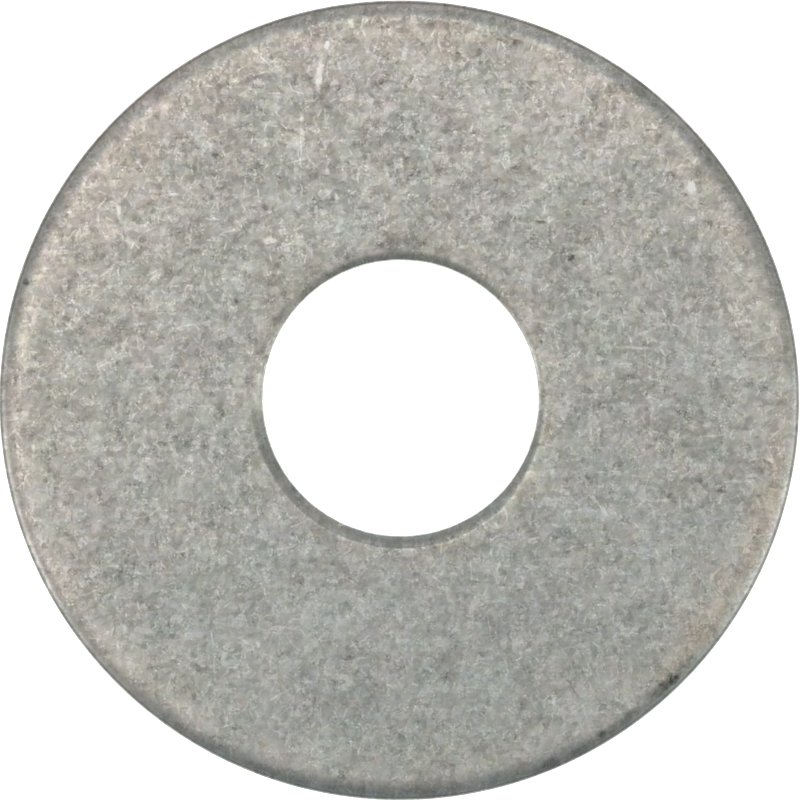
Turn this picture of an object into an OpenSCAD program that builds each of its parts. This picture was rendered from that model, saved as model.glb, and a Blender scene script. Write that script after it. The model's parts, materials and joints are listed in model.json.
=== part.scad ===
// Fender washer, stamped from steel strip in one stroke and then tumbled and zinc plated.
// Millimetres. The origin is on the bore's axis at the lower face, and +Z points to the rolled face.
// The die drew both upper edges down into a soft roll. Below each roll a band of the wall is
// burnished, and below that the metal tore, so the wall leans away by the die's clearance.

/* [Blank] */
// Outside diameter, one inch
rim_diameter = 25.4; // [24:0.1:27]
// Thickness of the strip, one sixteenth of an inch
thickness = 1.6; // [1.2:0.1:2.4]

/* [Bore] */
// Diameter at the burnished band, for a bolt of five sixteenths of an inch
bore_diameter = 8.76; // [8:0.02:10]
// Place of the rim's centre along X, seen from the bore's axis
rim_shift_x = -0.04; // [-0.2:0.01:0.2]
// Place of the rim's centre along Y, seen from the bore's axis
rim_shift_y = -0.07; // [-0.2:0.01:0.2]

/* [Rim edge] */
// Radius of the roll where it leaves the upper face
rim_lead_radius = 0.75; // [0.5:0.05:1]
// Radius of the roll where it turns down into the wall
rim_corner_radius = 0.175; // [0.1:0.025:0.2]
// Height of the burnished band below the roll
rim_band_height = 0.55; // [0.2:0.05:0.65]
// How far the torn wall leans in by the lower face
rim_tear_lean = 0.09; // [0.03:0.01:0.15]
// Radius of the lower corner, worn round by tumbling
rim_worn_radius = 0.12; // [0.05:0.01:0.15]

/* [Bore edge] */
// Radius of the roll where it leaves the upper face
bore_lead_radius = 0.45; // [0.3:0.05:0.8]
// Radius of the roll where it turns down into the wall
bore_corner_radius = 0.1; // [0.05:0.025:0.2]
// Height of the burnished band below the roll
bore_band_height = 0.6; // [0.2:0.05:0.65]
// How far the torn wall leans out by the lower face
bore_tear_lean = 0.09; // [0.03:0.01:0.15]
// Radius of the lower corner, worn round by tumbling
bore_worn_radius = 0.12; // [0.05:0.01:0.15]

/* [Hidden] */

rim_radius = rim_diameter / 2;
bore_radius = bore_diameter / 2;

// Facets of a full turn about the axis, and of each small arc in the section
turn_facets = 180;
arc_facets = 72;

// A roll is two arcs that meet smoothly on one line through both centres.
// That line rises at a slope of four to three, which keeps every point a round number.
MEET = [0.6, 0.8];

// How far a roll reaches in from the wall, and down from the upper face
function roll_width(lead, corner) = corner + MEET.x * (lead - corner);
function roll_depth(lead, corner) = lead - MEET.y * (lead - corner);

// Section of a sheared edge: the wall is at x = 0 and the metal lies from x = -back up to it
module sheared_edge(back, lead, corner, band, lean, worn) {
  inset = roll_width(lead, corner);
  roll_foot = thickness - roll_depth(lead, corner);
  meet_line = 2 * lead * MEET;

  // straight-sided part, with steps where the arcs go
  polygon([
    [-back, 0],
    [-lean - worn, 0],
    [-lean - worn, worn],
    [-lean, worn],
    [0, roll_foot - band],
    [0, roll_foot],
    [-inset, roll_foot],
    [-inset, thickness],
    [-back, thickness],
  ]);

  // shallow arc that leaves the upper face
  intersection() {
    translate([-inset, thickness - lead]) circle(r = lead, $fn = arc_facets);
    polygon([
      [-inset, roll_foot],
      [-corner, roll_foot],
      [-corner, roll_foot] + meet_line,
      [-inset, roll_foot + meet_line.y],
    ]);
  }

  // tight arc that turns down into the wall
  intersection() {
    translate([-corner, roll_foot]) circle(r = corner, $fn = arc_facets);
    polygon([
      [-corner, roll_foot],
      [lead, roll_foot],
      [lead, roll_foot + meet_line.y],
      [-corner, roll_foot] + meet_line,
    ]);
  }

  // worn lower corner
  intersection() {
    translate([-lean - worn, worn]) circle(r = worn, $fn = arc_facets);
    translate([-lean - worn, 0]) square(worn);
  }
}

// Everything inside the rim, turned about the rim's own centre
module rim_side() {
  translate([rim_shift_x, rim_shift_y, 0])
    rotate_extrude($fn = turn_facets)
      translate([rim_radius, 0])
        sheared_edge(
          back = rim_radius - bore_radius / 2,
          lead = rim_lead_radius,
          corner = rim_corner_radius,
          band = rim_band_height,
          lean = rim_tear_lean,
          worn = rim_worn_radius
        );
}

// Everything outside the bore, turned about the bore's axis
module bore_side() {
  rotate_extrude($fn = turn_facets)
    translate([bore_radius, 0])
      mirror([1, 0])
        sheared_edge(
          back = rim_radius,
          lead = bore_lead_radius,
          corner = bore_corner_radius,
          band = bore_band_height,
          lean = bore_tear_lean,
          worn = bore_worn_radius
        );
}

// The washer is the metal that lies within both edges
module washer() {
  color("#a8a79f")
    intersection() {
      rim_side();
      bore_side();
    }
}

washer();
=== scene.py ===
"""Dresses a stamped fender washer as it was photographed: flat on a pale floor, seen from straight above."""

import json
import math

import bpy
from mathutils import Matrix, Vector


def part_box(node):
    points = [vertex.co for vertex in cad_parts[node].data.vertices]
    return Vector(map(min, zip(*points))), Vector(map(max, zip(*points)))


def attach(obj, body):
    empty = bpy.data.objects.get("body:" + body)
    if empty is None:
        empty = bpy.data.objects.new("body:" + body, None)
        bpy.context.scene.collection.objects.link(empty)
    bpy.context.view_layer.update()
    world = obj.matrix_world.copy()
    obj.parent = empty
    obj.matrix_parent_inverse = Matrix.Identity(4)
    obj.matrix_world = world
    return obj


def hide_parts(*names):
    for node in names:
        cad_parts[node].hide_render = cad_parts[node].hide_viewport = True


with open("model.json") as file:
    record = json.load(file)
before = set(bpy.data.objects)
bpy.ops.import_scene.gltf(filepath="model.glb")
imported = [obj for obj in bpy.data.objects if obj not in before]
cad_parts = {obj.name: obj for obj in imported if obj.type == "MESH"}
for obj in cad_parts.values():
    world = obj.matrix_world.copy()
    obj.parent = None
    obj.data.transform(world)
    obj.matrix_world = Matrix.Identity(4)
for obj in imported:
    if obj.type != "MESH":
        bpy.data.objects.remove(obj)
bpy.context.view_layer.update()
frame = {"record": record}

# Sizes in metres. The overall ones come from the solid.
MM = 0.001
NODE = "washer"
LOW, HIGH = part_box(NODE)
BORE = next(m for m in frame["record"]["mounts"] if m["kind"] == "bore")
RIM_RADIUS = (HIGH.x - LOW.x) / 2
RIM_CENTRE = Vector(((LOW.x + HIGH.x) / 2, (LOW.y + HIGH.y) / 2, 0))
THICKNESS = HIGH.z - LOW.z
BORE_RADIUS = BORE["dims"]["r_mm"] * MM

# A roll is two arcs that meet on one line through both centres, which rises four to three
MEET_X = 0.6
MEET_Y = 0.8
MEET_ANGLE = math.degrees(math.atan2(MEET_Y, MEET_X))

# Steps of the mesh. The upper face has fine steps for a short way beside each roll.
STEPS_ROUND = 900
FACE_STEP = 0.25 * MM
FINE_STEP = 0.06 * MM
FINE_WIDTH = 6 * FINE_STEP
WALL_STEP = 0.1 * MM
UNDERSIDE_STEPS = 10
LEAD_STEPS = 7
CORNER_STEPS = 4
WORN_STEPS = 3

# Points nearer to each other than this become one, which closes the mesh
MERGE_DISTANCE = 0.001 * MM

# The burnished band gives way to torn metal within this distance above and below the mean tear line
TEAR_WANDER = 0.14 * MM

# The shares from 0 to 1 that each point of the section carries
SHARE_NAMES = ("torn", "wall", "rolled", "fall", "flare", "ease")

# The rolls blend into the upper face over this much more than their width
ROLL_BLEND = 0.2 * MM

# Wear of the surface: how deep it goes, the sizes of its patterns, and their seed
WAVE_SIZE = 2.2 * MM
DENT_DEPTH = 0.006 * MM
DENT_SPACING = 1.9 * MM
TEAR_DEPTH = 0.05 * MM
TEAR_SIZE = 0.25 * MM
ROLL_WAVER = 0.025 * MM
WAVER_SIZE = 0.8 * MM
SEED = 7.0

# A dent's radius as a share of the dents' spacing, and its depth in units of DENT_DEPTH
DENT_RADIUS = 0.16
DENT_WEIGHT = 1.6

# The bore's roll is drawn down further, and flares out to this width, towards this direction.
# The spread is two cosines of the angle off that direction: where this starts, and where it is full.
BORE_SAG = 0.13 * MM
FLARE_WIDTH = 0.38 * MM
FLARE_STEEPNESS = 1.45
SAG_TURN = math.radians(240)
SAG_SPREAD = (-0.2, 0.7)

# The upper face eases down by this much into the rim's roll, between these distances from the rim
RIM_FALL = 0.018 * MM
RIM_FALL_START = 0.70 * MM
RIM_FALL_END = 0.33 * MM

# The upper face eases down by this much into the bore's roll, between these distances from the bore.
# It does so on the side towards +Y, with the same kind of spread.
BORE_EASE = 0.022 * MM
BORE_EASE_START = 0.90 * MM
BORE_EASE_END = 0.30 * MM
EASE_SPREAD = (0.2, 0.8)

# Inputs of the tree that turns the section, by the kind of their sockets
TURNING_INPUTS = {
    "Geometry": ["Section"],
    "Int": ["Steps round"],
    "Float": [
        "Bore radius",
        "Rim radius",
        "Dent depth",
        "Tear depth",
        "Roll waver",
        "Bore sag",
        "Bore ease",
        "Rim fall",
        "Seed",
    ],
    "Vector": ["Rim centre", "Sag side"],
    "Material": ["Finish"],
}

# The grain by the size of its parts in millimetres, each with its weight. A stroke or a fleck has a length
# and a width, a flake and a bit of grit also a turn in degrees, and a cloud only its size. The real grain is
# finer still: here nothing is under 0.06 mm, which is two pixels of the photograph, so that it shows.
STROKES = (
    ((0.16, 0.07), 0.15),
    ((0.24, 0.08), 0.25),
    ((0.38, 0.08), 0.40),
    ((0.65, 0.08), 0.30),
    ((1.10, 0.08), 0.20),
)
FLECKS = (((0.10, 0.08), 0.25),)
GRIT = (((0.08, 0.06, 0), 0.12), ((0.12, 0.07, 90), 0.12))
FLAKES = (
    ((0.16, 0.11, 30), 0.12),
    ((0.27, 0.16, 0), 0.18),
    ((0.27, 0.16, 90), 0.18),
    ((0.45, 0.30, 45), 0.09),
)
CLOUDS = (((0.25,), 0.12), ((0.5,), 0.17), ((1.1,), 0.24), ((3.2,), 0.12))

# The first seed of each part of the grain, and how far the pattern moves from one seed to the next
GRAIN_SEEDS = {"strokes": 1, "flecks": 11, "flakes": 21, "clouds": 31, "patches": 51, "grit": 61}
STROKE_SHIFT = (7.31, 3.17)
FLAKE_SHIFT = (3.7, 9.1)
CLOUD_SHIFT = 5.3

# Tone of the darkest stroke, fleck and flake, where the lightest is 1
STROKE_LOW = -0.55
FLECK_LOW = -0.7
FLAKE_LOW = -0.85

# There are this many strokes to a stroke's length. A stroke and a mark keep their full tone out to these
# shares of the way from their middle to their outline.
STROKE_CROWD = 0.9
STROKE_CORE = 0.45
MARK_CORE = 0.3

# Size in millimetres of the patches in which the grit is stronger or weaker
PATCH_SIZE = 0.4

# Size and reach in millimetres of the noise that makes the edges of flakes and of marks uneven
FLAKE_SHAKE = (0.16, 0.065)
MARK_SHAKE = (0.12, 0.05)

# How high the raised strokes stand
GRAIN_RELIEF = 0.002 * MM

# Noise that moves the tear line, with its weight, and noise of the crumbs in the torn metal below that line.
# Each gives a size in millimetres, a seed and a detail.
TEAR_CLOUD = ((0.3, 71, 1.0), 0.9)
CRUMB_CLOUD = (0.14, 72, 2.0)

# How much the crumbs change the tone, and how many times higher they stand than the strokes
CRUMB_TONE = 0.9
CRUMB_RELIEF = 8.0

# Metal below the first height, in millimetres, is the lower face, and only metal above the second has marks
LOWER_FACE_TOP = 0.04
MARKS_ABOVE = 0.8

# The pattern of the lower face is the upper one's from this far away, in millimetres, so the two differ
LOWER_FACE_SHIFT = (40, 25, 0)

# The shoulder of the rim's roll: its distance from the rim's centre, and how far from it to either side the
# painted highlight on it ends and is full
SHOULDER_RADIUS = 11.94
SHOULDER_WIDTH = (0.25, 0.06)

# The rim's wall lies beyond this distance from the bore's axis
RIM_BEYOND = 8.0

# Fades over the plate: what each one follows, the two values of that between which it runs, and its own value
# at each of them. Places and distances are in millimetres.
FADES = {
    # warmth beside the rim and the bore
    "rim_warmth": ("from_rim", (10.5, 12.0), (0.0, 1.0)),
    "bore_warmth": ("from_bore", (5.6, 4.8), (0.0, 0.5)),
    # the bore's edge loses its pink towards the image's upper left
    "pink_side": ("upper_left", (3.9, 1.0), (0.0, 1.0)),
    # the side towards -X
    "left": ("across", (-4.5, -8.5), (0.0, 1.0)),
    # the corner of each wall, above its burnished band
    "corner": ("above_foot", (-0.16, -0.03), (0.0, 1.0)),
    # torn metal, below a tear line that wanders
    "crumbly": ("tear", (0.42, 0.58), (0.0, 1.0)),
    # strength of the grain on the rolls, and of the grit in its patches
    "calm": ("rolled", (0.0, 1.0), (1.0, 0.75)),
    "gritty": ("patches", (-0.12, 0.12), (0.3, 1.7)),
}

# Recipes: what adds up to each thing, and with what weight, where "even" is 1 all over.
# The first is the distance in millimetres towards the image's upper left.
UPPER_LEFT = {"across": -0.5, "upwards": 0.87}

# Two that the strength of the grain is multiplied with: over the image, and on the walls
BOLDNESS = {"even": 0.98, "upwards": 0.005}
DRAG_LINES = {"even": 1.0, "below": -0.5, "crumbly": -0.3}

# The plate's brightness, with a painted highlight on the rim's shoulder, and how much of it is left on duller
# metal and under painted shade in the corner of the rim's wall
BRIGHTNESS = {"even": 0.91, "tone": 1.04, "rim_warmth": 0.06, "shoulder": 0.13}
CLEANNESS = {"even": 1.0, "grime": -0.55, "below": -0.3, "crumbly": -0.2}

# How far the plate's tint goes towards pinkish, and towards yellowish. Their "across" and "upwards" terms are
# painted light: they shift the tint over the plate, most of all towards +Y, as the colour of the light that
# falls there.
PINK = {
    "even": 0.54,
    "across": -0.006,
    "upwards": 0.038,
    "rim_warmth": 0.38,
    "bore_pink": 0.65,
    "left": 0.18,
    "rolled": -0.6,
    "stain": 0.3,
}
YELLOW = {
    "even": 0.35,
    "upwards": 0.015,
    "rim_warmth": 0.22,
    "bore_warmth": 0.45,
    "rolled": -0.1,
    "left": 0.12,
    "stain": 0.36,
    "tone": -0.35,
}

# Clouds of the tint: size in millimetres, seed and detail, each with its weight
PINK_CLOUDS = (((0.5, 41, 1.0), 1.8), ((1.2, 45, 0.0), 0.8), ((2.6, 42, 0.0), 0.6))
YELLOW_CLOUDS = (((0.45, 43, 1.0), 1.5), ((2.5, 44, 0.0), 0.5))

# The plate's tint runs from greenish to pinkish. It is multiplied with one from bluish to yellowish.
TINTS = (
    (PINK, PINK_CLOUDS, ("#c5cac5", "#ccc8c5")),
    (YELLOW, YELLOW_CLOUDS, ("#f9faff", "#fffff4")),
)

# Least and most that the plate reflects
REFLECTS = (0.02, 0.96)

# Roughness at these two tones, and how much torn metal adds to it
ROUGH_TONES = (-0.5, 0.5)
ROUGHNESS = (0.46, 0.3)
TORN_ROUGHNESS = 0.2

# Marks of the photograph by their tone, with painted shade along the rolls among them. Each has its start,
# its end and its width in the photograph's pixels.
MARKS = {
    0.8: [
        # spot above the long scratch near the top
        ((327, 42), (327, 48), 6),
        # dent at the upper right
        ((690, 184), (691, 191), 12),
    ],
    0.55: [
        # long white scratch near the top, and a short one beside it
        ((322, 56), (317, 94), 9),
        # bright spots
        ((119, 207), (119, 214), 7),
        ((258, 643), (259, 645), 7),
        ((336, 196), (337, 198), 7),
        ((34, 446), (34, 449), 7),
    ],
    0.4: [
        # short scratches at the lower right
        ((552, 694), (555, 706), 5),
        ((573, 735), (578, 729), 5),
        # diagonal scratches at the lower right of the bore
        ((589, 495), (598, 503), 6),
        ((598, 503), (608, 516), 6),
        ((504, 507), (508, 521), 4),
        ((598, 565), (603, 580), 4),
        # weaker bright spots
        ((265, 240), (276, 241), 10),
        ((37, 362), (37, 366), 6),
        ((718, 369), (720, 371), 6),
        ((729, 306), (729, 309), 6),
        ((538, 109), (538, 112), 6),
        ((286, 250), (289, 250), 6),
    ],
    0.3: [
        # fine scratches
        ((407, 40), (402, 72), 7),
        ((301, 110), (301, 185), 2.5),
        ((301, 112), (302, 124), 5),
        ((632, 504), (650, 501), 4),
        ((650, 501), (670, 500), 4),
        ((600, 322), (602, 352), 4),
        ((612, 347), (656, 349), 4),
        ((438, 196), (446, 203), 3),
        ((446, 203), (449, 214), 3),
        # pale patches
        ((203, 144), (211, 146), 13),
        ((98, 437), (100, 440), 11),
        ((69, 440), (73, 440), 10),
        ((130, 243), (132, 246), 10),
    ],
    -0.16: [
        # painted shade: dark stretches at the very edge of the roll along the bottom, at the top and at the
        # upper right
        ((149, 709), (233, 760), 10),
        ((227, 757), (319, 788), 13),
        ((312, 786), (404, 796), 13),
        ((396, 796), (482, 787), 13),
        ((480, 787), (557, 766), 13),
        ((248, 35), (305, 16), 10),
        ((302, 16), (361, 7), 10),
        ((616, 73), (673, 118), 10),
        ((669, 114), (719, 171), 11),
        ((738, 212), (760, 262), 9),
        # smudge along the roll at the lower right
        ((653, 691), (666, 687), 13),
        # painted shade: dark stretches of the roll at the top, and round the bore
        ((296, 37), (352, 26), 13),
        ((346, 27), (408, 23), 13),
        ((405, 22), (478, 30), 13),
        ((472, 29), (548, 53), 13),
        ((368, 246), (424, 243), 26),
        ((508, 495), (527, 469), 8),
        ((525, 472), (541, 434), 8),
        ((289, 303), (270, 331), 9),
        ((272, 328), (260, 358), 9),
    ],
    -0.34: [
        # painted shade: dark stretch of the roll at the lower right
        ((556, 766), (644, 708), 16),
        ((640, 712), (692, 658), 16),
    ],
    -0.28: [
        # thin curved scratch at the lower right
        ((567, 677), (572, 688), 3),
        ((572, 687), (579, 699), 3),
        # dark streak and dark edges of the dent at the upper right
        ((284, 129), (299, 134), 6),
        ((697, 172), (699, 177), 9),
        ((679, 182), (681, 187), 8),
        # dark corner right of the bore
        ((531, 221), (549, 223), 4.5),
        ((549, 223), (550, 244), 4.5),
        # small pits
        ((410, 138), (411, 138), 7),
        ((45, 479), (46, 482), 7),
        ((265, 206), (266, 208), 8),
        ((486, 85), (486, 87), 7),
        ((215, 154), (216, 156), 8),
        ((182, 554), (183, 558), 9),
        ((759, 468), (760, 472), 10),
        ((186, 369), (188, 374), 10),
        ((234, 301), (237, 304), 9),
        ((156, 115), (157, 116), 8),
        # smudge along the roll at the lower right
        ((600, 735), (604, 733), 8),
    ],
    -0.38: [
        # darker smudges along the roll at the lower right
        ((627, 715), (637, 709), 12),
        ((670, 683), (677, 677), 12),
    ],
    -0.5: [
        # the darkest pit, the nick in the roll at the left, and the darkest smudge
        ((570, 258), (571, 258), 9),
        ((26, 281), (27, 284), 8),
        ((542, 767), (559, 760), 14),
    ],
}

# Warm stains of the photograph, given in the same way: round the lower side of the bore, and along the rim at
# the lower right
STAINS = [
    ((302, 508), (350, 534), 24),
    ((430, 548), (486, 524), 22),
    ((508, 504), (536, 470), 18),
    ((546, 440), (552, 408), 14),
    ((776, 470), (736, 584), 44),
    ((734, 590), (660, 682), 40),
]

# Where no mark is near, this stands for the squared distance to one, which is 1 at a mark's outline
FARTHEST = 81.0

# The photograph's frame, in pixels from its top left corner
PHOTO_SIDE_PX = 800
RIM_CENTRE_PX = (399.35, 400.29)
RIM_RADIUS_PX = 399.91
METRE_PER_PX = RIM_RADIUS / RIM_RADIUS_PX

LENS_MM = 300
SENSOR_MM = 36

# The floor reaches this far each way, and glows enough to print as plain white
FLOOR_REACH = 2.5
FLOOR_GLOW = 0.95

# Soft panels round the washer: degrees above the floor, turn from +X, width, height, radiance and colour
PANEL_DISTANCE = 0.35
PANELS = {
    "top_left_upper": (78, 125, 0.16, 0.12, 0.79, "#fffff4"),
    "top_left_high": (65, 125, 0.16, 0.12, 0.20, "#b3e5ff"),
    "top_left_mid": (45, 130, 0.20, 0.14, 0.32, "#fffef6"),
    "top_left_low": (25, 130, 0.20, 0.14, 0.13, "#fff5f7"),
    "top_low": (34, 92, 0.20, 0.12, 0.38, "#fffcf8"),
    "top_right_upper": (78, 55, 0.16, 0.12, 0.33, "#fffbf5"),
    "top_right_high": (65, 55, 0.16, 0.12, 0.20, "#c3edff"),
    "top_right_mid": (45, 55, 0.20, 0.14, 0.20, "#f7fff7"),
    "top_right_low": (25, 55, 0.20, 0.14, 0.26, "#fffaf9"),
    "left_high": (66, 195, 0.16, 0.16, 0.91, "#fff5ee"),
    "left_mid": (42, 200, 0.20, 0.12, 0.38, "#ffeadc"),
    "left_low": (18, 196, 0.24, 0.12, 1.80, "#fff8f4"),
    "right_high": (66, 345, 0.16, 0.16, 0.60, "#ffedde"),
    "right_mid": (42, 342, 0.20, 0.12, 0.71, "#fff7f0"),
    "right_low": (18, 345, 0.24, 0.12, 1.45, "#fff8f5"),
}
SURROUNDINGS = ("#f9fcff", 0.258)


class Edge:
    """Sizes of one sheared edge."""

    def __init__(self, lead, corner, band, lean, worn):
        self.lead = lead
        self.corner = corner
        self.band = band
        self.lean = lean
        self.worn = worn
        self.inset = corner + MEET_X * (lead - corner)
        self.foot = THICKNESS - lead + MEET_Y * (lead - corner)


RIM_EDGE = Edge(lead=0.75 * MM, corner=0.175 * MM, band=0.55 * MM, lean=0.09 * MM, worn=0.12 * MM)
BORE_EDGE = Edge(lead=0.45 * MM, corner=0.1 * MM, band=0.6 * MM, lean=0.09 * MM, worn=0.12 * MM)


def linear(hex_colour):
    """sRGB hex to a linear colour with alpha 1."""
    channels = [int(hex_colour[i : i + 2], 16) / 255 for i in (1, 3, 5)]
    return (*[c / 12.92 if c <= 0.04045 else ((c + 0.055) / 1.055) ** 2.4 for c in channels], 1)


def add(tree, kind, inputs=None, **settings):
    """Adds one node. inputs names its sockets, each with a value or with the socket that feeds it."""
    made = tree.nodes.new(kind)
    for name, value in settings.items():
        setattr(made, name, value)
    for key, value in (inputs or {}).items():
        if isinstance(value, bpy.types.NodeSocket):
            tree.links.new(value, made.inputs[key])
        else:
            made.inputs[key].default_value = value
    return made


def arc(centre, radius, start, end, steps):
    """Points along an arc between two angles in degrees, both ends included."""
    angles = [math.radians(start + (end - start) * i / steps) for i in range(steps + 1)]
    return [(centre[0] + radius * math.cos(a), centre[1] + radius * math.sin(a)) for a in angles]


def run(start, end, step):
    """Points along a straight line at about the given step, without its ends."""
    count = max(1, round(math.dist(start, end) / step))
    shares = [i / count for i in range(1, count)]
    return [tuple(a + (b - a) * s for a, b in zip(start, end)) for s in shares]


def sheared_edge(edge):
    """Points up a sheared edge whose wall is at 0 and whose metal lies to the left."""
    worn = arc((-edge.lean - edge.worn, edge.worn), edge.worn, -90, 0, WORN_STEPS)
    band_foot = (0, edge.foot - edge.band)
    band_top = (0, edge.foot)
    torn = run(worn[-1], band_foot, WALL_STEP) + [band_foot]
    band = run(band_foot, band_top, WALL_STEP)
    corner = arc((-edge.corner, edge.foot), edge.corner, 0, MEET_ANGLE, CORNER_STEPS)
    lead = arc((-edge.inset, THICKNESS - edge.lead), edge.lead, MEET_ANGLE, 90, LEAD_STEPS)
    return worn + torn + band + corner + lead[1:]


def soft_step(share):
    """Eases a share from 0 to 1."""
    share = min(1, max(0, share))
    return share * share * (3 - 2 * share)


def fall_share(from_rim):
    """How far the upper face has begun to fall at a distance from the rim."""
    return soft_step((RIM_FALL_START - from_rim) / (RIM_FALL_START - RIM_FALL_END))


def flare_share(from_bore):
    """How much of the bore's flare a point at a distance from the bore takes."""
    return min(1, max(0, FLARE_STEEPNESS * (1 - from_bore / FLARE_WIDTH)))


def ease_share(from_bore):
    """How far the upper face has eased down at a distance from the bore."""
    return soft_step((BORE_EASE_START - from_bore) / (BORE_EASE_START - BORE_EASE_END))


def section_mesh():
    """The washer's section as a loop of points: x is the radius and z the height.

    Each point says how far, from 0 to 1, it belongs to the torn wall, to the whole wall, to the rolls, to
    the upper face's fall towards the rim, to the flare of the bore, and to the easing beside the bore.
    """
    points = []
    shares = []
    for edge, wall, side in ((RIM_EDGE, RIM_RADIUS, 1), (BORE_EDGE, BORE_RADIUS, -1)):
        tear = edge.foot - edge.band
        for x, z in sheared_edge(edge)[::side]:
            points.append((wall + side * x, z))
            on_wall = x > -edge.lean - edge.worn and 0 < z < edge.foot + edge.corner
            torn = 0.5 + (tear - z) / (2 * TEAR_WANDER) if on_wall else 0
            high = min(1, max(0, (z - tear) / edge.band))
            rolled = soft_step(1 + x / (edge.inset + ROLL_BLEND)) * high
            fall = fall_share(-x) * high if side == 1 else 0.0
            flare = flare_share(-x) * high if side == -1 else 0.0
            ease = ease_share(-x) * high if side == -1 else 0.0
            shares.append((soft_step(torn), float(on_wall), rolled, fall, flare, ease))
        start = points[-1]
        if side == 1:
            outer = (RIM_RADIUS - RIM_EDGE.inset - FINE_WIDTH, THICKNESS)
            inner = (BORE_RADIUS + BORE_EDGE.inset + FINE_WIDTH, THICKNESS)
            end = (BORE_RADIUS + BORE_EDGE.inset, THICKNESS)
            between = run(start, outer, FINE_STEP) + [outer] + run(outer, inner, FACE_STEP)
            between += [inner] + run(inner, end, FINE_STEP)
        else:
            end = (RIM_RADIUS - RIM_EDGE.lean - RIM_EDGE.worn, 0)
            between = run(start, end, (end[0] - start[0]) / UNDERSIDE_STEPS)
        for x, z in between:
            points.append((x, z))
            rim = soft_step(1 - (RIM_RADIUS - x) / (RIM_EDGE.inset + ROLL_BLEND))
            bore = soft_step(1 - (x - BORE_RADIUS) / (BORE_EDGE.inset + ROLL_BLEND))
            fall = fall_share(RIM_RADIUS - x)
            flare = flare_share(x - BORE_RADIUS)
            ease = ease_share(x - BORE_RADIUS)
            upper = (0.0, 0.0, max(rim, bore), fall, flare, ease)
            shares.append(upper if z > 0 else (0.0,) * len(SHARE_NAMES))

    mesh = bpy.data.meshes.new("section")
    edges = [(i, (i + 1) % len(points)) for i in range(len(points))]
    mesh.from_pydata([(r, 0, z) for r, z in points], edges, [])
    for name, values in zip(SHARE_NAMES, zip(*shares)):
        mesh.attributes.new(name, "FLOAT", "POINT").data.foreach_set("value", values)
    return mesh


def turned_shape(tree, given):
    """The section turned about the bore's axis, and its rim about the rim's centre, as a closed mesh."""
    # A grid with a column for each step round and a row for each point, and one more of both to close it
    count = add(tree, "GeometryNodeAttributeDomainSize", {"Geometry": given["Section"]})
    count = count.outputs["Point Count"]
    rows = add(tree, "ShaderNodeMath", {0: count, 1: 1}, operation="ADD").outputs[0]
    columns = add(tree, "ShaderNodeMath", {0: given["Steps round"], 1: 1}, operation="ADD").outputs[0]
    shape = add(tree, "GeometryNodeMeshGrid", {"Vertices X": columns, "Vertices Y": rows}).outputs["Mesh"]
    index = add(tree, "GeometryNodeInputIndex").outputs[0]
    column = add(tree, "ShaderNodeMath", {0: index, 1: rows}, operation="DIVIDE").outputs[0]
    column = add(tree, "ShaderNodeMath", {0: column}, operation="FLOOR").outputs[0]
    row = add(tree, "ShaderNodeMath", {0: index, 1: rows}, operation="MODULO").outputs[0]
    point = add(tree, "ShaderNodeMath", {0: row, 1: count}, operation="MODULO").outputs[0]

    # Each grid point takes its section point's place and is turned by its column
    place = add(tree, "GeometryNodeInputPosition").outputs[0]
    flat = {"Geometry": given["Section"], "Value": place, "Index": point}
    flat = add(tree, "GeometryNodeSampleIndex", flat, data_type="FLOAT_VECTOR").outputs[0]
    angle = {0: column, 1: given["Steps round"]}
    angle = add(tree, "ShaderNodeMath", angle, operation="DIVIDE").outputs[0]
    angle = add(tree, "ShaderNodeMath", {0: angle, 1: math.tau}, operation="MULTIPLY").outputs[0]
    turned = {"Vector": flat, "Angle": angle}
    turned = add(tree, "ShaderNodeVectorRotate", turned, rotation_type="Z_AXIS").outputs[0]
    radius = add(tree, "ShaderNodeSeparateXYZ", {0: flat}).outputs[0]
    share = {"Value": radius, "From Min": given["Bore radius"], "From Max": given["Rim radius"]}
    share = add(tree, "ShaderNodeMapRange", share, interpolation_type="SMOOTHSTEP").outputs[0]
    shift = {0: given["Rim centre"], "Scale": share}
    shift = add(tree, "ShaderNodeVectorMath", shift, operation="SCALE").outputs[0]
    placed = add(tree, "ShaderNodeVectorMath", {0: turned, 1: shift}, operation="ADD").outputs[0]
    shape = add(tree, "GeometryNodeSetPosition", {"Geometry": shape, "Position": placed}).outputs[0]

    # It also takes that point's shares
    for name in SHARE_NAMES:
        share = add(tree, "GeometryNodeInputNamedAttribute", {"Name": name}, data_type="FLOAT").outputs[0]
        share = {"Geometry": given["Section"], "Value": share, "Index": point}
        share = add(tree, "GeometryNodeSampleIndex", share, data_type="FLOAT").outputs[0]
        stored = {"Geometry": shape, "Name": name, "Value": share}
        stored = add(tree, "GeometryNodeStoreNamedAttribute", stored, data_type="FLOAT", domain="POINT")
        shape = stored.outputs[0]
    closed = {"Geometry": shape, "Distance": MERGE_DISTANCE}
    return add(tree, "GeometryNodeMergeByDistance", closed).outputs[0]


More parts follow.
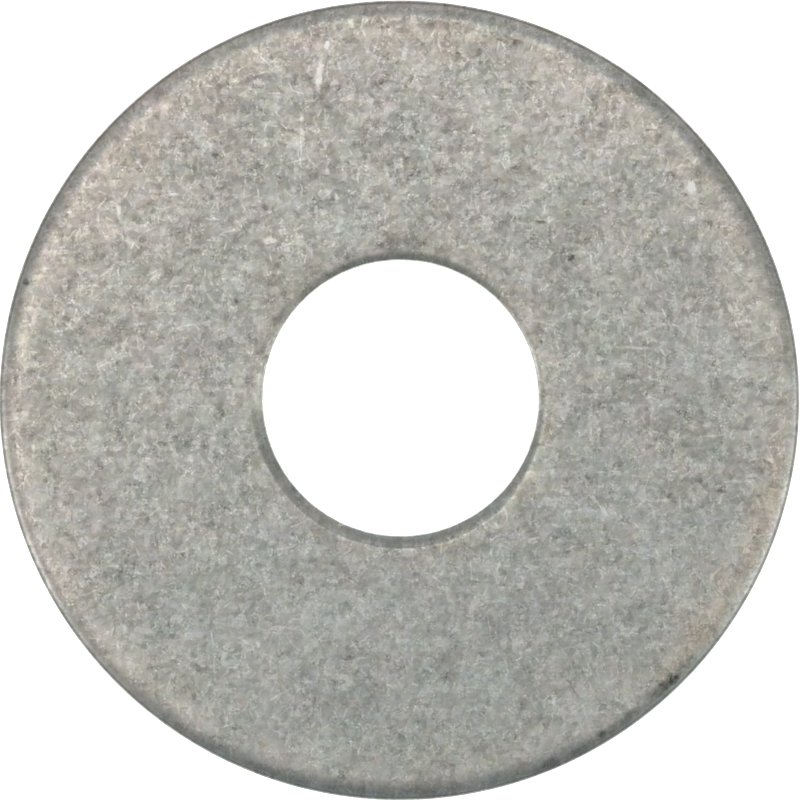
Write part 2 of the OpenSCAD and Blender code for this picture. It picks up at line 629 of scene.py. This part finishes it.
def worn_inward(tree, given, here, shares):
    """Shallow waves and round dents in both faces, and rough metal on the torn wall, all along the normal."""
    wave = {"Vector": here, "Scale": 1 / WAVE_SIZE, "Detail": 1.0}
    wave = add(tree, "ShaderNodeTexNoise", wave).outputs[0]
    dent = add(tree, "ShaderNodeTexVoronoi", {"Vector": here, "Scale": 1 / DENT_SPACING}).outputs["Distance"]
    dent = {"Value": dent, "From Min": DENT_RADIUS, "From Max": 0.0, "To Max": DENT_WEIGHT}
    dent = add(tree, "ShaderNodeMapRange", dent, interpolation_type="SMOOTHSTEP").outputs[0]
    worn = add(tree, "ShaderNodeMath", {0: wave, 1: dent}, operation="ADD").outputs[0]
    level = add(tree, "ShaderNodeMath", {0: 1.0, 1: shares["wall"]}, operation="SUBTRACT").outputs[0]
    worn = add(tree, "ShaderNodeMath", {0: worn, 1: level}, operation="MULTIPLY").outputs[0]
    rough = {"Vector": here, "Scale": 1 / TEAR_SIZE, "Detail": 3.0}
    rough = add(tree, "ShaderNodeTexNoise", rough).outputs[0]
    rough = add(tree, "ShaderNodeMath", {0: rough, 1: shares["torn"]}, operation="MULTIPLY").outputs[0]
    depth = weighed(tree, [(worn, given["Dent depth"]), (rough, given["Tear depth"])])
    depth = add(tree, "ShaderNodeMath", {0: depth, 1: -1}, operation="MULTIPLY").outputs[0]
    normal = add(tree, "GeometryNodeInputNormal").outputs[0]
    return add(tree, "ShaderNodeVectorMath", {0: normal, "Scale": depth}, operation="SCALE").outputs[0]


def drawn_down(tree, given, place, here, shares):
    """How the rolls and the upper face beside them were drawn down."""
    # The rolls waver in height, and the bore's is drawn down further on one side
    waver = {"Vector": here, "Scale": 1 / WAVER_SIZE, "Detail": 2.0}
    waver = add(tree, "ShaderNodeTexNoise", waver).outputs[0]
    waver = add(tree, "ShaderNodeMath", {0: waver, 1: given["Roll waver"]}, operation="MULTIPLY").outputs[0]
    away = add(tree, "ShaderNodeVectorMath", {0: place, 1: (1, 1, 0)}, operation="MULTIPLY").outputs[0]
    away = add(tree, "ShaderNodeVectorMath", {0: away}, operation="NORMALIZE").outputs[0]
    aim = {0: away, 1: given["Sag side"]}
    aim = add(tree, "ShaderNodeVectorMath", aim, operation="DOT_PRODUCT").outputs["Value"]
    aim = {"Value": aim, "From Min": SAG_SPREAD[0], "From Max": SAG_SPREAD[1]}
    aim = add(tree, "ShaderNodeMapRange", aim, interpolation_type="SMOOTHSTEP").outputs[0]
    aim = add(tree, "ShaderNodeMath", {0: aim, 1: given["Bore sag"]}, operation="MULTIPLY").outputs[0]

    # The upper face starts to fall a little before the rim's roll, and before the bore's towards +Y
    top = add(tree, "ShaderNodeSeparateXYZ", {0: away}).outputs[1]
    top = {"Value": top, "From Min": EASE_SPREAD[0], "From Max": EASE_SPREAD[1]}
    top = add(tree, "ShaderNodeMapRange", top, interpolation_type="SMOOTHSTEP").outputs[0]
    top = add(tree, "ShaderNodeMath", {0: top, 1: given["Bore ease"]}, operation="MULTIPLY").outputs[0]
    sag = [(shares["rolled"], waver), (shares["flare"], aim), (shares["ease"], top)]
    sag = weighed(tree, sag + [(shares["fall"], given["Rim fall"])])
    return add(tree, "ShaderNodeVectorMath", {0: (0, 0, -1), "Scale": sag}, operation="SCALE").outputs[0]


def turning_tree():
    """Turns a section about the bore's axis, with the rim about its own centre, and wears its surface."""
    tree = bpy.data.node_groups.new("turned_washer", "GeometryNodeTree")
    for kind, names in TURNING_INPUTS.items():
        for name in names:
            tree.interface.new_socket(name, in_out="INPUT", socket_type="NodeSocket" + kind)
    tree.interface.new_socket("Washer", in_out="OUTPUT", socket_type="NodeSocketGeometry")
    given = add(tree, "NodeGroupInput").outputs
    shape = turned_shape(tree, given)

    shares = {}
    for name in SHARE_NAMES:
        share = add(tree, "GeometryNodeInputNamedAttribute", {"Name": name}, data_type="FLOAT")
        shares[name] = share.outputs[0]
    place = add(tree, "GeometryNodeInputPosition").outputs[0]
    seeded = {0: (1, 1, 1), "Scale": given["Seed"]}
    seeded = add(tree, "ShaderNodeVectorMath", seeded, operation="SCALE").outputs[0]
    here = add(tree, "ShaderNodeVectorMath", {0: place, 1: seeded}, operation="ADD").outputs[0]
    moved = {0: worn_inward(tree, given, here, shares), 1: drawn_down(tree, given, place, here, shares)}
    moved = add(tree, "ShaderNodeVectorMath", moved, operation="ADD").outputs[0]
    shape = add(tree, "GeometryNodeSetPosition", {"Geometry": shape, "Offset": moved}).outputs[0]

    shape = add(tree, "GeometryNodeSetShadeSmooth", {"Geometry": shape}).outputs[0]
    shape = add(tree, "GeometryNodeRealizeInstances", {"Geometry": shape}).outputs[0]
    shape = add(tree, "GeometryNodeSetMaterial", {"Geometry": shape, "Material": given["Finish"]}).outputs[0]
    add(tree, "NodeGroupOutput", {0: shape})
    return tree


def washer_piece(finish):
    """The washer as a plain mesh at the origin."""
    drawing = bpy.data.objects.new("section_drawing", section_mesh())
    bpy.context.scene.collection.objects.link(drawing)
    tree = turning_tree()
    turning = drawing.modifiers.new("turning", "NODES")
    turning.node_group = tree
    sizes = {
        "Steps round": STEPS_ROUND,
        "Bore radius": BORE_RADIUS,
        "Rim radius": RIM_RADIUS,
        "Dent depth": DENT_DEPTH,
        "Tear depth": TEAR_DEPTH,
        "Roll waver": ROLL_WAVER,
        "Bore sag": BORE_SAG,
        "Bore ease": BORE_EASE,
        "Rim fall": RIM_FALL,
        "Seed": SEED,
        "Rim centre": RIM_CENTRE,
        "Sag side": (math.cos(SAG_TURN), math.sin(SAG_TURN), 0),
        "Finish": finish,
    }
    for socket in tree.interface.items_tree:
        if socket.name in sizes:
            turning[socket.identifier] = sizes[socket.name]
    drawing.update_tag()
    graph = bpy.context.evaluated_depsgraph_get()
    mesh = bpy.data.meshes.new_from_object(drawing.evaluated_get(graph), depsgraph=graph)
    drawing.modifiers.remove(turning)
    bpy.data.objects.remove(drawing)
    mesh.name = "washer_body"
    piece = bpy.data.objects.new("washer_body", mesh)
    bpy.context.scene.collection.objects.link(piece)
    return piece


def photo_place(x, y):
    """A point of the photograph, in pixels, as millimetres from the bore's axis."""
    across = (x - RIM_CENTRE_PX[0]) * METRE_PER_PX + RIM_CENTRE.x
    up = (RIM_CENTRE_PX[1] - y) * METRE_PER_PX + RIM_CENTRE.y
    return across / MM, up / MM


def stroke_felt(tree, place, length, width, seed, low):
    """One short stroke in each cell, in any direction, with a mostly weak tone between low and 1."""
    moved = {0: place, 1: (seed * STROKE_SHIFT[0], seed * STROKE_SHIFT[1], 0)}
    moved = add(tree, "ShaderNodeVectorMath", moved, operation="ADD").outputs[0]
    cell = {"Vector": moved, "Scale": STROKE_CROWD / length}
    cell = add(tree, "ShaderNodeTexVoronoi", cell, voronoi_dimensions="2D")
    chance = add(tree, "ShaderNodeSeparateColor", {0: cell.outputs["Color"]}).outputs
    local = {0: moved, 1: cell.outputs["Position"]}
    local = add(tree, "ShaderNodeVectorMath", local, operation="SUBTRACT").outputs[0]
    angle = add(tree, "ShaderNodeMath", {0: chance[0], 1: math.tau}, operation="MULTIPLY").outputs[0]
    local = {"Vector": local, "Angle": angle}
    local = add(tree, "ShaderNodeVectorRotate", local, rotation_type="Z_AXIS").outputs[0]
    local = {0: local, 1: (2 / length, 2 / width, 0)}
    local = add(tree, "ShaderNodeVectorMath", local, operation="MULTIPLY").outputs[0]
    far = add(tree, "ShaderNodeVectorMath", {0: local}, operation="LENGTH").outputs["Value"]
    body = {"Value": far, "From Min": 1.0, "From Max": STROKE_CORE}
    body = add(tree, "ShaderNodeMapRange", body, interpolation_type="SMOOTHSTEP").outputs[0]
    tone = mostly_weak(tree, chance[1], low)
    return add(tree, "ShaderNodeMath", {0: body, 1: tone}, operation="MULTIPLY").outputs[0]


def flake_felt(tree, place, length, width, turn, seed):
    """Small flakes side by side, each of one mostly weak tone, and drawn out in one direction."""
    mapped = {
        "Vector": place,
        "Location": (seed * FLAKE_SHIFT[0], seed * FLAKE_SHIFT[1], 0),
        "Rotation": (0, 0, math.radians(turn)),
        "Scale": (length, width, 1),
    }
    mapped = add(tree, "ShaderNodeMapping", mapped, vector_type="TEXTURE").outputs[0]
    cell = add(tree, "ShaderNodeTexVoronoi", {"Vector": mapped, "Scale": 1.0}, voronoi_dimensions="2D")
    chance = add(tree, "ShaderNodeSeparateColor", {0: cell.outputs["Color"]}).outputs[0]
    return mostly_weak(tree, chance, FLAKE_LOW)


def mostly_weak(tree, chance, low):
    """A chance from 0 to 1 as a tone from low to 1, times its own size, so that most tones are weak."""
    tone = add(tree, "ShaderNodeMapRange", {"Value": chance, "To Min": low}).outputs[0]
    weak = add(tree, "ShaderNodeMath", {0: tone}, operation="ABSOLUTE").outputs[0]
    return add(tree, "ShaderNodeMath", {0: tone, 1: weak}, operation="MULTIPLY").outputs[0]


def cloud(tree, place, size, seed, detail=0.0):
    """Soft noise about 0, with patches of the given size."""
    moved = {0: place, 1: (0, 0, seed * CLOUD_SHIFT)}
    moved = add(tree, "ShaderNodeVectorMath", moved, operation="ADD").outputs[0]
    value = {"Vector": moved, "Scale": 1 / size, "Detail": detail}
    value = add(tree, "ShaderNodeTexNoise", value).outputs[0]
    return add(tree, "ShaderNodeMath", {0: value, 1: 0.5}, operation="SUBTRACT").outputs[0]


def felts(tree, felt, place, sizes, seed, *more):
    """Every size of one part of the grain, with its weight. Each has the seed after the one before."""
    return [(felt(tree, place, *size, seed + i, *more), weight) for i, (size, weight) in enumerate(sizes)]


def shaken(tree, place, size, reach):
    """The place, moved about by noise of the given size, so that what is drawn from it has uneven edges."""
    noise = {"Vector": place, "Scale": 1 / size, "Detail": 0.0}
    noise = add(tree, "ShaderNodeTexNoise", noise).outputs["Color"]
    noise = {0: noise, 1: (0.5, 0.5, 0.5)}
    noise = add(tree, "ShaderNodeVectorMath", noise, operation="SUBTRACT").outputs[0]
    noise = {0: noise, 1: (2 * reach, 2 * reach, 0), 2: place}
    return add(tree, "ShaderNodeVectorMath", noise, operation="MULTIPLY_ADD").outputs[0]


def mark(tree, place, start, end, width):
    """How far a place is from the middle of one scratch or spot, squared, with 1 at its outline."""
    x0, y0 = photo_place(*start)
    x1, y1 = photo_place(*end)
    width = width * METRE_PER_PX / MM
    length = math.dist((x0, y0), (x1, y1)) + width
    turn = math.atan2(y1 - y0, x1 - x0)
    lengthways = (2 * math.cos(turn) / length, 2 * math.sin(turn) / length, 0)
    sideways = (-2 * math.sin(turn) / width, 2 * math.cos(turn) / width, 0)
    local = {0: place, 1: ((x0 + x1) / 2, (y0 + y1) / 2, 0)}
    local = add(tree, "ShaderNodeVectorMath", local, operation="SUBTRACT").outputs[0]
    along = {0: local, 1: lengthways}
    along = add(tree, "ShaderNodeVectorMath", along, operation="DOT_PRODUCT").outputs["Value"]
    aside = {0: local, 1: sideways}
    aside = add(tree, "ShaderNodeVectorMath", aside, operation="DOT_PRODUCT").outputs["Value"]
    square = add(tree, "ShaderNodeMath", {0: along, 1: along}, operation="MULTIPLY").outputs[0]
    return add(tree, "ShaderNodeMath", {0: aside, 1: aside, 2: square}, operation="MULTIPLY_ADD").outputs[0]


def marks_of(tree, place, places):
    """All marks of one tone: 1 along their middles and 0 outside them."""
    nearest = FARTHEST
    for start, end, width in places:
        square = mark(tree, place, start, end, width)
        nearest = add(tree, "ShaderNodeMath", {0: square, 1: nearest}, operation="MINIMUM").outputs[0]
    far = add(tree, "ShaderNodeMath", {0: nearest}, operation="SQRT").outputs[0]
    body = {"Value": far, "From Min": 1.0, "From Max": MARK_CORE}
    return add(tree, "ShaderNodeMapRange", body, interpolation_type="SMOOTHSTEP").outputs[0]


def weighed(tree, parts):
    """The sum of values, each times its weight. A weight may be a socket too."""
    total = 0.0
    for value, weight in parts:
        step = {0: value, 1: weight, 2: total}
        total = add(tree, "ShaderNodeMath", step, operation="MULTIPLY_ADD").outputs[0]
    return total


def picked(at, weights):
    """The values that a recipe names, each with its weight."""
    return [(at[name], weight) for name, weight in weights.items()]


def plate_point(tree):
    """What the material reads at a point, by name. Lengths are in millimetres, and shares go from 0 to 1."""
    place = add(tree, "ShaderNodeTexCoord").outputs["Object"]
    place = add(tree, "ShaderNodeVectorMath", {0: place, "Scale": 1 / MM}, operation="SCALE").outputs[0]
    at = {"even": 1.0, "place": place}
    at["across"], at["upwards"], at["height"] = add(tree, "ShaderNodeSeparateXYZ", {0: place}).outputs
    at["upper_left"] = weighed(tree, picked(at, UPPER_LEFT))
    above_foot = {0: at["height"], 1: RIM_EDGE.foot / MM}
    at["above_foot"] = add(tree, "ShaderNodeMath", above_foot, operation="SUBTRACT").outputs[0]
    level = add(tree, "ShaderNodeVectorMath", {0: place, 1: (1, 1, 0)}, operation="MULTIPLY").outputs[0]
    at["from_bore"] = add(tree, "ShaderNodeVectorMath", {0: level}, operation="LENGTH").outputs["Value"]
    from_rim = {0: level, 1: RIM_CENTRE / MM}
    at["from_rim"] = add(tree, "ShaderNodeVectorMath", from_rim, operation="DISTANCE").outputs["Value"]
    for name in ("torn", "wall", "rolled"):
        at[name] = add(tree, "ShaderNodeAttribute", attribute_name=name).outputs["Fac"]

    # The place that the grain reads, which differs between the two faces, and the one that the marks read
    under = {0: at["height"], 1: LOWER_FACE_TOP}
    under = add(tree, "ShaderNodeMath", under, operation="LESS_THAN").outputs[0]
    shift = {0: LOWER_FACE_SHIFT, "Scale": under}
    shift = add(tree, "ShaderNodeVectorMath", shift, operation="SCALE").outputs[0]
    at["ground"] = add(tree, "ShaderNodeVectorMath", {0: place, 1: shift}, operation="ADD").outputs[0]
    at["ragged"] = shaken(tree, place, *MARK_SHAKE)

    # The grit's patches, the torn share with noise in it, and all the fades
    at["patches"] = cloud(tree, at["ground"], PATCH_SIZE, GRAIN_SEEDS["patches"])
    noise, weight = TEAR_CLOUD
    at["tear"] = weighed(tree, [(cloud(tree, place, *noise), weight), (at["torn"], 1.0)])
    for name, (follows, limits, values) in FADES.items():
        fade = {
            "Value": at[follows],
            "From Min": limits[0],
            "From Max": limits[1],
            "To Min": values[0],
            "To Max": values[1],
        }
        at[name] = add(tree, "ShaderNodeMapRange", fade).outputs[0]
    return at


def plate_walls(tree, at):
    """Adds what the walls show: their part below the corner, the crumbs of torn metal, and painted shade in
    the corner of the rim's wall.
    """
    below = add(tree, "ShaderNodeMath", {0: 1.0, 1: at["corner"]}, operation="SUBTRACT").outputs[0]
    at["below"] = add(tree, "ShaderNodeMath", {0: below, 1: at["wall"]}, operation="MULTIPLY").outputs[0]
    crumbs = {0: cloud(tree, at["place"], *CRUMB_CLOUD), 1: at["crumbly"]}
    at["crumbs"] = add(tree, "ShaderNodeMath", crumbs, operation="MULTIPLY").outputs[0]

    # Painted shade darkens only the corner of the rim's wall
    grime = {0: at["from_bore"], 1: RIM_BEYOND}
    grime = add(tree, "ShaderNodeMath", grime, operation="GREATER_THAN").outputs[0]
    for name in ("wall", "corner"):
        grime = add(tree, "ShaderNodeMath", {0: grime, 1: at[name]}, operation="MULTIPLY").outputs[0]
    at["grime"] = grime


def plate_grain(tree, at):
    """The whole grain as a tone about 0, and its middle sizes of stroke alone, which stand in relief."""
    ground = at["ground"]
    uneven = shaken(tree, ground, *FLAKE_SHAKE)
    shortest, *raised, longest = felts(tree, stroke_felt, ground, STROKES, GRAIN_SEEDS["strokes"], STROKE_LOW)
    raised = weighed(tree, raised)
    grit = felts(tree, stroke_felt, ground, FLECKS, GRAIN_SEEDS["flecks"], FLECK_LOW)
    grit += felts(tree, flake_felt, uneven, GRIT, GRAIN_SEEDS["grit"])
    parts = [(raised, 1.0), shortest, longest, (weighed(tree, grit), at["gritty"])]
    parts += felts(tree, flake_felt, uneven, FLAKES, GRAIN_SEEDS["flakes"])
    parts += felts(tree, cloud, ground, CLOUDS, GRAIN_SEEDS["clouds"])
    return weighed(tree, parts), raised


def plate_tint(tree, at):
    """The plate's colour. It is warmer beside the rim and the bore, and in the stains, and its tint shifts
    over the plate towards +Y as painted light.
    """
    bore_pink = {0: at["pink_side"], 1: at["bore_warmth"]}
    at["bore_pink"] = add(tree, "ShaderNodeMath", bore_pink, operation="MULTIPLY").outputs[0]
    at["stain"] = marks_of(tree, at["ragged"], STAINS)
    tints = []
    for weights, clouds, (start, end) in TINTS:
        parts = picked(at, weights)
        parts += [(cloud(tree, at["ground"], *noise), weight) for noise, weight in clouds]
        tint = {0: weighed(tree, parts), 6: linear(start), 7: linear(end)}
        tints.append(add(tree, "ShaderNodeMix", tint, data_type="RGBA", clamp_factor=False).outputs[2])
    colour = {0: tints[0], 1: tints[1]}
    return add(tree, "ShaderNodeVectorMath", colour, operation="MULTIPLY").outputs[0]


def tumbled_zinc_plate():
    """Zinc plate on steel, tumbled in a barrel.

    It reads as dull, faintly warm grey metal, felted all over with short light and dark strokes. The rolls
    are smoother. Each wall has a pale burnished band with weak upright drag lines, and below a tear line
    that wanders its metal is darker, rough and crumbly. It also carries painted shade and a painted
    highlight.
    """
    material = bpy.data.materials.new("tumbled_zinc_plate")
    material.use_nodes = True
    tree = material.node_tree
    tree.nodes.clear()
    at = plate_point(tree)
    plate_walls(tree, at)
    grain, raised = plate_grain(tree, at)

    # The grain is weaker on the rolls and the walls, and a little bolder towards the image's top
    strength = at["calm"]
    for weights in (BOLDNESS, DRAG_LINES):
        strength = {0: strength, 1: weighed(tree, picked(at, weights))}
        strength = add(tree, "ShaderNodeMath", strength, operation="MULTIPLY").outputs[0]

    # The tone is the grain with the crumbs, and on the upper part with the marks and the painted shade along
    # the rolls
    marks = [(marks_of(tree, at["ragged"], places), weight) for weight, places in MARKS.items()]
    marks = weighed(tree, marks)
    upper = {0: at["height"], 1: MARKS_ABOVE}
    upper = add(tree, "ShaderNodeMath", upper, operation="GREATER_THAN").outputs[0]
    at["tone"] = weighed(tree, [(grain, strength), (at["crumbs"], CRUMB_TONE), (marks, upper)])

    # The shoulder of the rim's roll carries a painted highlight on the side towards -X, where the strongest
    # panels stand
    shoulder = {0: at["from_rim"], 1: SHOULDER_RADIUS}
    shoulder = add(tree, "ShaderNodeMath", shoulder, operation="SUBTRACT").outputs[0]
    shoulder = add(tree, "ShaderNodeMath", {0: shoulder}, operation="ABSOLUTE").outputs[0]
    shoulder = {"Value": shoulder, "From Min": SHOULDER_WIDTH[0], "From Max": SHOULDER_WIDTH[1]}
    shoulder = add(tree, "ShaderNodeMapRange", shoulder, interpolation_type="SMOOTHSTEP").outputs[0]
    shoulder = {0: shoulder, 1: at["left"]}
    at["shoulder"] = add(tree, "ShaderNodeMath", shoulder, operation="MULTIPLY").outputs[0]

    # The colour is the tint times the brightness, and the walls are duller than the faces, with painted shade
    # in the corner of the rim's wall
    bright = {0: weighed(tree, picked(at, BRIGHTNESS)), 1: weighed(tree, picked(at, CLEANNESS))}
    bright = add(tree, "ShaderNodeMath", bright, operation="MULTIPLY").outputs[0]
    colour = {0: plate_tint(tree, at), "Scale": bright}
    colour = add(tree, "ShaderNodeVectorMath", colour, operation="SCALE").outputs[0]
    for limit, kind in zip(REFLECTS, ("MAXIMUM", "MINIMUM")):
        colour = {0: colour, 1: (limit, limit, limit)}
        colour = add(tree, "ShaderNodeVectorMath", colour, operation=kind).outputs[0]

    # Bright strokes are smoother than dark ones, and the torn wall is the roughest
    rough = {
        "Value": at["tone"],
        "From Min": ROUGH_TONES[0],
        "From Max": ROUGH_TONES[1],
        "To Min": ROUGHNESS[0],
        "To Max": ROUGHNESS[1],
    }
    rough = add(tree, "ShaderNodeMapRange", rough).outputs[0]
    rough = weighed(tree, [(rough, 1.0), (at["crumbly"], TORN_ROUGHNESS)])
    relief = weighed(tree, [(raised, 1.0), (at["crumbs"], CRUMB_RELIEF)])
    bump = {"Height": relief, "Strength": 1.0, "Distance": GRAIN_RELIEF}
    bump = add(tree, "ShaderNodeBump", bump).outputs[0]
    shader = {"Base Color": colour, "Metallic": 1.0, "Roughness": rough, "Normal": bump}
    shader = add(tree, "ShaderNodeBsdfPrincipled", shader)
    add(tree, "ShaderNodeOutputMaterial", {"Surface": shader.outputs[0]})
    return material


def floor():
    """A white light table, bright enough to print as plain white."""
    material = bpy.data.materials.new("light_table")
    material.use_nodes = True
    tree = material.node_tree
    tree.nodes.clear()
    shader = {
        "Base Color": linear("#f2f2f2"),
        "Roughness": 0.9,
        "Specular IOR Level": 0.1,
        "Emission Color": (1, 1, 1, 1),
        "Emission Strength": FLOOR_GLOW,
    }
    shader = add(tree, "ShaderNodeBsdfPrincipled", shader)
    add(tree, "ShaderNodeOutputMaterial", {"Surface": shader.outputs[0]})
    corners = [(x * FLOOR_REACH, y * FLOOR_REACH, 0) for x, y in ((-1, -1), (1, -1), (1, 1), (-1, 1))]
    mesh = bpy.data.meshes.new("floor")
    mesh.from_pydata(corners, [], [(0, 1, 2, 3)])
    mesh.materials.append(material)
    obj = bpy.data.objects.new("floor", mesh)
    bpy.context.scene.collection.objects.link(obj)


def light():
    """Dim, faintly blue surroundings with soft panels, the strongest of them low on both sides."""
    world = bpy.data.worlds.new("studio")
    world.use_nodes = True
    tree = world.node_tree
    tree.nodes.clear()
    colour, strength = SURROUNDINGS
    sky = add(tree, "ShaderNodeBackground", {"Color": linear(colour), "Strength": strength})
    add(tree, "ShaderNodeOutputWorld", {"Surface": sky.outputs[0]})
    bpy.context.scene.world = world
    for name, (rise, turn, width, height, radiance, colour) in PANELS.items():
        data = bpy.data.lights.new(name, "AREA")
        data.shape = "RECTANGLE"
        data.size = width
        data.size_y = height
        data.energy = math.pi * width * height * radiance
        data.color = linear(colour)[:3]
        rise = math.radians(rise)
        turn = math.radians(turn)
        level = math.cos(rise)
        aim = Vector((level * math.cos(turn), level * math.sin(turn), math.sin(rise)))
        obj = bpy.data.objects.new(name, data)
        obj.location = aim * PANEL_DISTANCE
        obj.rotation_euler = (-aim).to_track_quat("-Z", "Y").to_euler()
        bpy.context.scene.collection.objects.link(obj)


def camera():
    """Looks straight down. The washer fills the frame as it does in the photograph."""
    data = bpy.data.cameras.new("camera")
    data.lens = LENS_MM
    data.sensor_width = SENSOR_MM
    obj = bpy.data.objects.new("camera", data)
    bpy.context.scene.collection.objects.link(obj)
    distance = PHOTO_SIDE_PX * METRE_PER_PX * LENS_MM / SENSOR_MM
    middle = PHOTO_SIDE_PX / 2
    obj.location = (
        RIM_CENTRE.x + (middle - RIM_CENTRE_PX[0]) * METRE_PER_PX,
        RIM_CENTRE.y - (middle - RIM_CENTRE_PX[1]) * METRE_PER_PX,
        RIM_EDGE.foot + distance,
    )
    data.clip_start = distance / 100
    data.clip_end = distance * 100
    bpy.context.scene.camera = obj


body = washer_piece(tumbled_zinc_plate())
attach(body, "root")
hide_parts(NODE)

floor()
light()
camera()
bpy.context.scene.view_settings.view_transform = "Standard"
